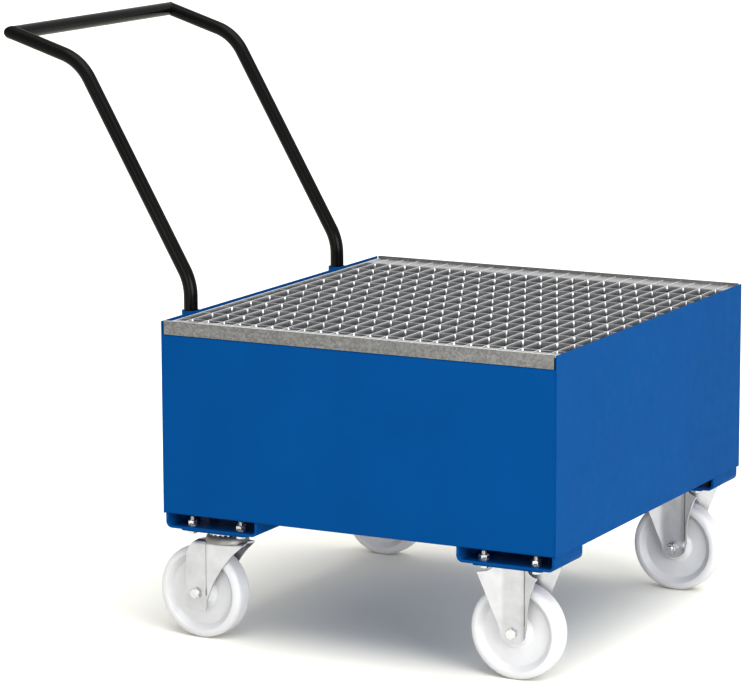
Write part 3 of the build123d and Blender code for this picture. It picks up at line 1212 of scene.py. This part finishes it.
@dataclass
class FixedFork:
    """Pressed fork of a fixed caster, in millimetres: a plate and two legs.

    Each leg's wings flare away from the wheel. One is wide and straight, the other narrow and creased.
    """

    outer: float = 32.0
    sheet: float = 3.5
    strip_half: float = 22.5
    foot_round: float = 92.0
    wing_low: float = 93.0
    wing_high: float = 203.0
    wing_tip: float = 62.0
    under_plate: float = 216.0
    plate: tuple[float, float, float, float] = (140.0, 110.0, 4.0, 6.0)
    flare: float = math.tan(math.radians(25))
    fold: float = 14.0
    step: float = 1.8
    step_run: float = 2.2
    crease: float = 26.8
    crease_half: float = 1.75
    front_foot: float = 27.5
    front: tuple[Flat, ...] = ((93.0, 27.5), (101.0, 30.0), (120.0, 31.2), (145.0, 33.5), (160.0, 37.0),
                               (173.0, 42.0), (194.0, 51.0), (203.0, 57.0), (204.0, 48.0), (206.5, 41.5),
                               (211.0, 36.5), (216.0, 35.0))
    across: int = 60
    # Rows whose crease column gets painted shade.
    creased: range = range(16, 50)
    weld: float = 1.7
    weld_ripple: float = 2.6
    weld_half: float = 30.0

    def half_width(self, z: float) -> float:
        """Return half the leg's width at a level.

        Args:
            z: the level.

        Returns:
            Half the width.
        """
        if z < self.foot_round:
            return math.sqrt(max(self.strip_half**2 - (self.foot_round - z) ** 2, 4.0))
        if z <= self.wing_high:
            share = max(0.0, z - self.wing_low) / (self.wing_high - self.wing_low)
            return self.strip_half + (self.wing_tip - self.strip_half) * share
        high = self.wing_high
        return between([(high, self.wing_tip), (high + 1.0, 50.0), (high + 3.5, 41.5), (high + 8, 36.5),
                        (self.under_plate, 35.0)], z)

    def front_width(self, z: float) -> float:
        """Return how far the narrow wing's concave edge reaches at a level.

        Args:
            z: the level.

        Returns:
            The edge's reach.
        """
        if z < self.foot_round:
            return self.half_width(z) * self.front_foot / self.strip_half
        return between(self.front, z)

    def levels(self) -> list[float]:
        """Return the levels of the leg's rows, close together where its outline turns.

        Returns:
            The levels, rising.
        """
        low = self.foot_round - self.strip_half
        foot = [self.foot_round - self.strip_half * math.cos(math.pi / 2 * k / 12) for k in range(13)]
        wing = [self.wing_low + (self.wing_high - self.wing_low) * k / 24 for k in range(25)]
        top = [self.wing_high + (self.under_plate - self.wing_high) * (k / 14) ** 1.6 for k in range(1, 15)]
        return [low] + foot[1:] + wing + top

    def leg(self, blank: Blank, side: int) -> None:
        """Fold one leg into the blank; the other side's leg is the same one turned half round.

        Args:
            blank: where the leg goes.
            side: 1 for left, -1 for right.
        """
        rings = []
        for z in self.levels():
            skin, back = [], []
            wide, narrow = self.half_width(z), self.front_width(z)
            for x in columns(-wide, narrow, self.crease, self.crease_half, self.across):
                out = ramp(abs(x) - self.strip_half + self.fold / 2, self.fold) * self.flare
                out += self.step * min(1.0, max(0.0, (x - self.crease + self.crease_half) / self.step_run))
                turned = min(1.0, max(0.0, (abs(x) - self.strip_half) / self.fold + 0.5))
                slope = math.copysign(self.flare * turned, x)
                length = math.hypot(1, slope)
                inner = self.outer + out - self.sheet / length
                skin.append((-side * x, side * (self.outer + out), z))
                back.append((-side * (x + slope / length * self.sheet), side * inner, z))
            rings.append(skin + back[::-1])
        first = len(blank.faces)
        # The crease column over the creased rows is marked for painted shade.
        blank.loft(rings).shade(first, self.across // 2 - 1, 2 * self.across, self.creased)

    def make(self) -> Blank:
        """Return the fork about its own centre, in metres.

        Returns:
            The fork.
        """
        blank = Blank()
        length, width, thick, corner = self.plate
        outline = rounded([(-length / 2, -width / 2, corner), (length / 2, -width / 2, corner),
                           (length / 2, width / 2, corner), (-length / 2, width / 2, corner)])
        blank.loft([[(x, y, z) for x, y in outline] for z in (self.under_plate, self.under_plate + thick)])
        for side in (-1, 1):
            self.leg(blank, side)
        for number, side in enumerate((-1, 1)):
            for face in (0.0, self.sheet):
                y = side * (self.outer - face)
                path = [Vector((x, y, self.under_plate)) for x in (-self.weld_half, self.weld_half)]
                bead(blank, path, self.weld, 80 + number, self.weld_ripple)
        return blank.moved(Matrix.Scale(MM, 4))


@dataclass
class SwivelFork:
    """Pressed fork of a swivel caster, in millimetres: a sheet folded over the wheel, under a dished cup."""

    outer: float = 32.0
    sheet: float = 3.5
    top: float = 194.5
    fold: float = 9.0
    foot: float = 54.0
    foot_corner: float = 12.0
    rear: float = -74.0
    crease: float = -28.0
    crease_step: float = 1.1
    crease_half: float = 0.9
    eye: float = 94.0
    lean: float = math.tan(math.radians(9))
    dish: tuple[float, float, float] = (17.0, 25.0, 10.0)
    cup: tuple[Flat, ...] = ((8.0, 201.0), (8.0, 206.0), (34.5, 206.0), (37.0, 205.2), (39.4, 202.6),
                             (41.2, 198.6), (42.0, 194.4), (41.8, 192.6), (40.4, 191.8), (39.2, 192.8),
                             (38.4, 197.6), (36.6, 201.0))
    nose_cut: float = 6.5
    tail_cut: float = 10.0
    across: int = 52
    # Rows whose crease column gets painted shade.
    creased: range = range(16, 50)

    def front_edge(self, z: float) -> float:
        """Return the leg's front edge at a level.

        Args:
            z: the level.

        Returns:
            The edge.
        """
        if z < self.foot + self.foot_corner:
            return self.crease - self.corner_cut(z)
        return between([(66.0, self.crease), (78.0, self.crease + 1.5), (90.0, -21.5), (106.0, -16.0),
                        (117.0, -11.0), (137.5, 1.5), (154.0, 13.0), (168.0, 24.5), (178.0, 34.5),
                        (186.0, 43.5), (194.5, 51.0)], z)

    def rear_edge(self, z: float) -> float:
        """Return the leg's rear edge at a level.

        Args:
            z: the level.

        Returns:
            The edge.
        """
        if z < self.foot + self.foot_corner:
            return self.rear + self.corner_cut(z)
        return between([(66.0, self.rear), (150.0, self.rear), (172.0, self.rear + 3.5),
                        (186.0, self.rear + 13), (194.5, self.rear + 24)], z)

    def corner_cut(self, z: float) -> float:
        """Return how much the foot's rounded corner takes off at a level."""
        rise = self.foot_corner - (z - self.foot)
        return self.foot_corner - math.sqrt(max(self.foot_corner**2 - rise * rise, 0.0))

    def stations(self) -> list[tuple[float, float, float]]:
        """Return offset, level and fold angle along the sheet, from one foot over the wheel to the other.

        Returns:
            The stations in order.
        """
        half = [(self.outer, self.foot + self.foot_corner * (1 - math.cos(math.pi / 2 * k / 10)), 0.0)
                for k in range(11)]
        start = self.foot + self.foot_corner
        end = self.top - self.fold
        half += [(self.outer, start + (end - start) * k / 34, 0.0) for k in range(1, 35)]
        for k in range(1, 9):
            a = math.pi / 2 * k / 8
            half.append((self.outer - self.fold + self.fold * math.cos(a), end + self.fold * math.sin(a), a))
        half += [(self.outer - self.fold - 2.3 * k, self.top, math.pi / 2) for k in range(1, 10)]
        return half + [(0.0, self.top, math.pi / 2)] + [(-y, z, math.pi - a) for y, z, a in half[::-1]]

    def dished(self, x: float, y: float) -> float:
        """Return how far the sheet is pressed up round the king pin.

        Args:
            x: place along the fork.
            y: place across it.

        Returns:
            The rise.
        """
        inner, outer, height = self.dish
        share = min(1.0, max(0.0, (outer - math.hypot(x, y)) / (outer - inner)))
        return height * share * share * (3 - 2 * share)

    def make_cup(self) -> Blank:
        """Return the dished cup about its king pin, in metres.

        Returns:
            The cup.
        """
        turns = [math.tau * k / 72 for k in range(72)]
        cup = [[(r * math.cos(t), r * math.sin(t), z) for r, z in self.cup] for t in turns]
        return Blank().loft(cup, looped=True).moved(Matrix.Scale(MM, 4))

    def make(self) -> Blank:
        """Return the fork about its king pin, in metres.

        Returns:
            The fork.
        """
        rings = []
        for y, z, angle in self.stations():
            front, back = self.front_edge(z), self.rear_edge(z)
            if z >= self.top - 0.001:
                middle = 1 - min(1.0, abs(y) / (self.outer - self.fold))
                front -= self.nose_cut * middle
                back += self.tail_cut * middle * middle
            skin, under = [], []
            # Near the axle the crease column widens, so the painted shade there is a larger dark patch.
            half = self.crease_half * (1 + 1.6 * math.exp(-(((z - self.eye) / 9) ** 2)))
            for x in columns(back, front, self.crease, half, self.across):
                step = self.crease_step * min(1.0, max(0.0, (x - self.crease) / 1.2))
                squeeze = 1 - (ramp(x - self.crease, 6.0) * self.lean - step) / self.outer
                rise = self.dished(x, y * squeeze) * math.sin(angle) ** 8
                skin.append((x, y * squeeze, z + rise))
                inner = (y - self.sheet * math.cos(angle)) * squeeze
                under.append((x, inner, z + rise - self.sheet * math.sin(angle)))
            rings.append(skin + under[::-1])
        blank = Blank().loft(rings)
        # The crease column of both legs is marked for painted shade.
        last = len(rings) - 1
        for rows in (self.creased, range(last - self.creased.stop, last - self.creased.start)):
            blank.shade(0, self.across // 2 - 1, 2 * self.across, rows)
        return blank.moved(Matrix.Scale(MM, 4))


@dataclass
class Casters:
    """Four casters with their fasteners."""

    shop: Workshop
    seat: float = 215.8 * MM
    edge: float = 0.6 * MM
    bolts: HexFastener = field(default_factory=lambda: HexFastener(10 * MM, 1.5 * MM, 17 * MM, 6.4 * MM))
    axles: HexFastener = field(default_factory=lambda: HexFastener(12 * MM, 1.75 * MM, 19 * MM, 7.5 * MM))
    spacing: Flat = (105 * MM, 80 * MM)
    fork_half: float = 32 * MM
    axle_past: Point = (2.5 * MM, 10 * MM, 3 * MM)

    def build(self) -> None:
        """Make and dress the casters."""
        wheel = Wheel(self.shop)
        for end in ("front", "rear"):
            for side in Side:
                corner = f"{end}_{side.word}"
                wheel.build(corner)
                self.mounting_fasteners(corner)
                self.axle_fasteners(corner, side)
                self.shop.dress(f"axle_tube_{corner}", Slot.BEARING)
                if end == "front":
                    node, centre = f"fixed_fork_{corner}", corners_of(f"caster_channel_{corner}")[2]
                    blank = FixedFork().make().moved(Matrix.Translation((centre.x, centre.y, 0)))
                    made = blank.piece(node + "_pressed", 0.5 * MM, 40)
                    self.shop.fit(made, Slot.PRESSED, node)
                    self.shop.paint_above(made, self.seat)
                else:
                    self.swivel_fork(corner, side)
                    self.shop.dress(f"swivel_plate_{corner}", Slot.PRESSED, self.edge)
                    self.shop.paint_above(frame["nodes"][f"swivel_plate_{corner}"], self.seat)
                    self.shop.dress(f"king_pin_{corner}", Slot.PRESSED)
                    self.shop.dress(f"race_balls_{corner}", Slot.BEARING)
                log.info("caster %s", corner)
        self.shop.dress("mounting_washers", Slot.BRIGHT)

    def swivel_fork(self, corner: str, side: Side) -> None:
        """Make one turning fork at its rest angle about the king pin.

        Args:
            corner: the end and side.
            side: the side.
        """
        pin, axis = joint_of(f"swivel_{side.word}")["pos_m"], joint_of(f"roll_{corner}")["axis"]
        turn = Matrix.Rotation(math.atan2(-axis[0], axis[1]), 4, "Z")
        place = Matrix.Translation((pin[0], pin[1], 0)) @ turn
        node = f"swivel_fork_{corner}"
        fork = SwivelFork()
        self.shop.fit(fork.make().moved(place).piece(node + "_pressed", 0.5 * MM, 40), Slot.PRESSED, node)
        cup = fork.make_cup().moved(place).piece(node + "_cup", sharp=50)
        self.shop.fit(cup, Slot.PRESSED, node, False)
        # The cup under the channel takes the darker zinc, painted shade.
        cup.data.materials[0] = self.shop.shaded_zinc

    def mounting_fasteners(self, corner: str) -> None:
        """Make the four bolts and nuts of one caster.

        Args:
            corner: the end and side.
        """
        node, nuts = f"mounting_bolts_{corner}", f"mounting_nuts_{corner}"
        low, high, centre = corners_of(node)
        nut_low, nut_high, _ = corners_of(nuts)
        chance = random.Random(corner)
        under = low.z + self.bolts.head
        made, locked = Blank(), Blank()
        for i in (-0.5, 0.5):
            for j in (-0.5, 0.5):
                spin = Matrix.Rotation(chance.uniform(0, math.pi), 4, "Z")
                at = Vector((centre.x + i * self.spacing[0], centre.y + j * self.spacing[1], under))
                made.take(self.bolts.bolt(high.z - under).moved(Matrix.Translation(at) @ spin))
                at.z = 0
                locked.take(self.bolts.nut(nut_low.z, nut_high.z).moved(Matrix.Translation(at) @ spin))
        self.shop.fit(made.piece(node + "_threaded"), Slot.BRIGHT, node)
        self.shop.fit(locked.piece(nuts + "_turned"), Slot.BRIGHT, nuts)

    def axle_fasteners(self, corner: str, side: Side) -> None:
        """Make one axle bolt; its nut and washer stay as packed.

        Args:
            corner: the end and side.
            side: the side.
        """
        node = f"axle_bolt_{corner}"
        joint = joint_of(f"roll_{corner}")
        inward = Vector(joint["axis"]) * -side.value
        turn = Vector((0, 0, 1)).rotation_difference(inward).to_matrix().to_4x4()
        washer, nut, end = self.axle_past
        length = 2 * self.fork_half + washer + nut + end
        at = Vector(joint["pos_m"]) - inward * self.fork_half
        blank = self.axles.bolt(length).moved(Matrix.Translation(at) @ turn)
        self.shop.fit(blank.piece(node + "_threaded"), Slot.BRIGHT, node)
        self.shop.dress(f"axle_nut_{corner}", Slot.BRIGHT)


@dataclass
class Studio:
    """White floor, even surround and soft lights."""

    floor_half: float = 60.0
    surround: float = 0.72
    sky_toward: Point = (0.34, -0.16, 0.93)
    sky_strength: float = 2.1
    sky_spread: float = 62.0
    paper: Point = (0.90, 0.885, 0.82)
    aim: Point = (0.1, 0, 0.45)
    lamps: tuple[tuple[str, Point, float, float], ...] = (("right", (4.6, -2.4, 1.1), 2.6, 150),
                                                          ("front", (0.6, -5.2, 0.9), 2.6, 55))

    def build(self) -> None:
        """Lay the floor and hang the lights."""
        mesh = bpy.data.meshes.new("studio_floor")
        h = self.floor_half
        mesh.from_pydata([(-h, -h, 0), (h, -h, 0), (h, h, 0), (-h, h, 0)], [], [(0, 1, 2, 3)])
        floor = placed("studio_floor", mesh)
        floor.data.materials.append(StudioPaper("studio_paper", self.paper).make())
        world = bpy.data.worlds.new("surround")
        world.use_nodes = True
        sky = world.node_tree.nodes["Background"]
        sky.inputs["Color"].default_value = (1, 1, 1, 1)
        sky.inputs["Strength"].default_value = self.surround
        bpy.context.scene.world = world
        self.wide_light()
        for lamp in self.lamps:
            self.lamp(*lamp)
        log.info("studio: floor, surround, one broad light and two low ones")

    def wide_light(self) -> None:
        """Light the whole floor evenly from one broad direction."""
        data = bpy.data.lights.new("wide_light", "SUN")
        data.energy, data.angle = self.sky_strength, math.radians(self.sky_spread)
        light = placed("wide_light", data)
        light.rotation_euler = Vector(self.sky_toward).to_track_quat("Z", "Y").to_euler()

    def lamp(self, name: str, place: Point, size: float, power: float) -> None:
        """Hang one square light aimed at the dolly.

        Args:
            name: the lamp's name.
            place: where it hangs.
            size: its side's length.
            power: its watts.
        """
        data = bpy.data.lights.new(name, "AREA")
        data.size, data.energy = size, power
        lamp = placed(name, data)
        lamp.location = place
        lamp.rotation_euler = (Vector(self.aim) - Vector(place)).to_track_quat("-Z", "Y").to_euler()


@dataclass
class Viewpoint:
    """Camera place and lens."""

    place: Point = (3.2475, -6.1802, 1.787)
    heading: float = 27.56
    tilt: float = 79.68
    roll: float = -0.22
    lens: float = 175.0

    def build(self) -> None:
        """Set the scene's camera."""
        data = bpy.data.cameras.new("viewpoint")
        data.lens, data.sensor_width, data.clip_end = self.lens, 36.0, 400.0
        camera = placed("viewpoint", data)
        turn = Matrix.Rotation(math.radians(self.heading), 4, "Z")
        turn = turn @ Matrix.Rotation(math.radians(self.tilt), 4, "X")
        turn = turn @ Matrix.Rotation(math.radians(self.roll), 4, "Z")
        camera.matrix_world = Matrix.Translation(self.place) @ turn
        bpy.context.scene.camera = camera


def finishes() -> dict[Slot, Material]:
    """Return every finish by its slot.

    Returns:
        The finishes.
    """
    bars_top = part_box("bearing_bars")[1].z
    made = {
        Slot.BLUE: PowderCoat("blue_powder_coat", (0.002, 0.055, 0.184), (0.002, 0.060, 0.197),
                              (0.32, 0.46), 0.012),
        Slot.BLACK: PowderCoat("black_powder_coat", (0.002, 0.002, 0.002), (0.004, 0.004, 0.004),
                               (0.20, 0.30), 0.13),
        # Bars' zinc: tops painted bright and sides painted dark as painted light and shade, tops below the bars'
        # top painted darker, and a painted highlight along the upper 4.5 mm of each side.
        Slot.GALVANISED: HotDipZinc("hot_dip_zinc", (0.97, 0.80), (0.48, 0.31), (0.34, 0.52), 5 * MM,
                                    (0.10, 1, 1), bars_top - 1 * MM, 0.6, 4.5 * MM),
        Slot.PRESSED: Plating("pressed_zinc_plating", (0.545, 0.55, 0.575), (0.46, 0.465, 0.485),
                              (0.28, 0.42), 0.00005),
        Slot.BRIGHT: Plating("bright_zinc_plating", (0.66, 0.66, 0.67), (0.54, 0.54, 0.55),
                             (0.18, 0.32), 0.00003),
        Slot.BEARING: Plating("bearing_steel_finish", (0.62, 0.62, 0.63), (0.46, 0.46, 0.47),
                              (0.12, 0.26), 0.00002),
        Slot.WHITE: MouldedPlastic("white_polyamide_moulding", (0.55, 0.553, 0.57), (0.51, 0.513, 0.53)),
    }
    return {slot: finish.make() for slot, finish in made.items()}


def main() -> None:
    """Build every sub-assembly in order, then the studio and the camera."""
    logging.basicConfig(level=logging.INFO, format="%(name)s: %(message)s")
    bodies = frame["record"]["behaviour"]["bodies"]
    # Edge strips' zinc: painted highlight on the top edge, painted shade on the faces and on up-facing parts more
    # than 2 mm below the top.
    dull = HotDipZinc("hot_dip_zinc_dull", (0.97, 0.85), (0.24, 0.15), (0.34, 0.50), 4 * MM, (0.08, 1, 1),
                      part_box("edge_strip_left")[1].z - 2 * MM, 0.45)
    # Zinc runs: near-white on tops and sides alike, a painted highlight where the crossings catch the light.
    gathered = HotDipZinc("gathered_zinc_runs", (1.0, 0.95), (0.95, 0.85), (0.30, 0.45), 3 * MM,
                          (1, 1, 0.3))
    # Cross bars' zinc: a darker copy of the bars' zinc as painted shade, with tops painted lighter than sides.
    cross = HotDipZinc("hot_dip_zinc_cross", (0.80, 0.66), (0.40, 0.27), (0.36, 0.52), 5 * MM,
                       (1, 0.10, 1))
    # A darker copy of the pressed zinc: painted shade in the fork creases and on the swivel cup.
    painted_shade = Plating("pressed_zinc_oiled", (0.30, 0.295, 0.285), (0.22, 0.215, 0.205), (0.46, 0.60), 0.00005)
    shop = Workshop(finishes(), dull.make(), gathered.make(), cross.make(), painted_shade.make(),
                    {node: body for body, nodes in bodies.items() for node in nodes})
    for part in (SumpTray(shop), Grating(shop), PushHandle(shop), Casters(shop)):
        part.build()
    Studio().build()
    Viewpoint().build()
    bpy.context.scene.view_settings.view_transform = "Standard"
    bpy.context.scene.view_settings.look = "Medium High Contrast"


if __name__ == "__main__":
    main()
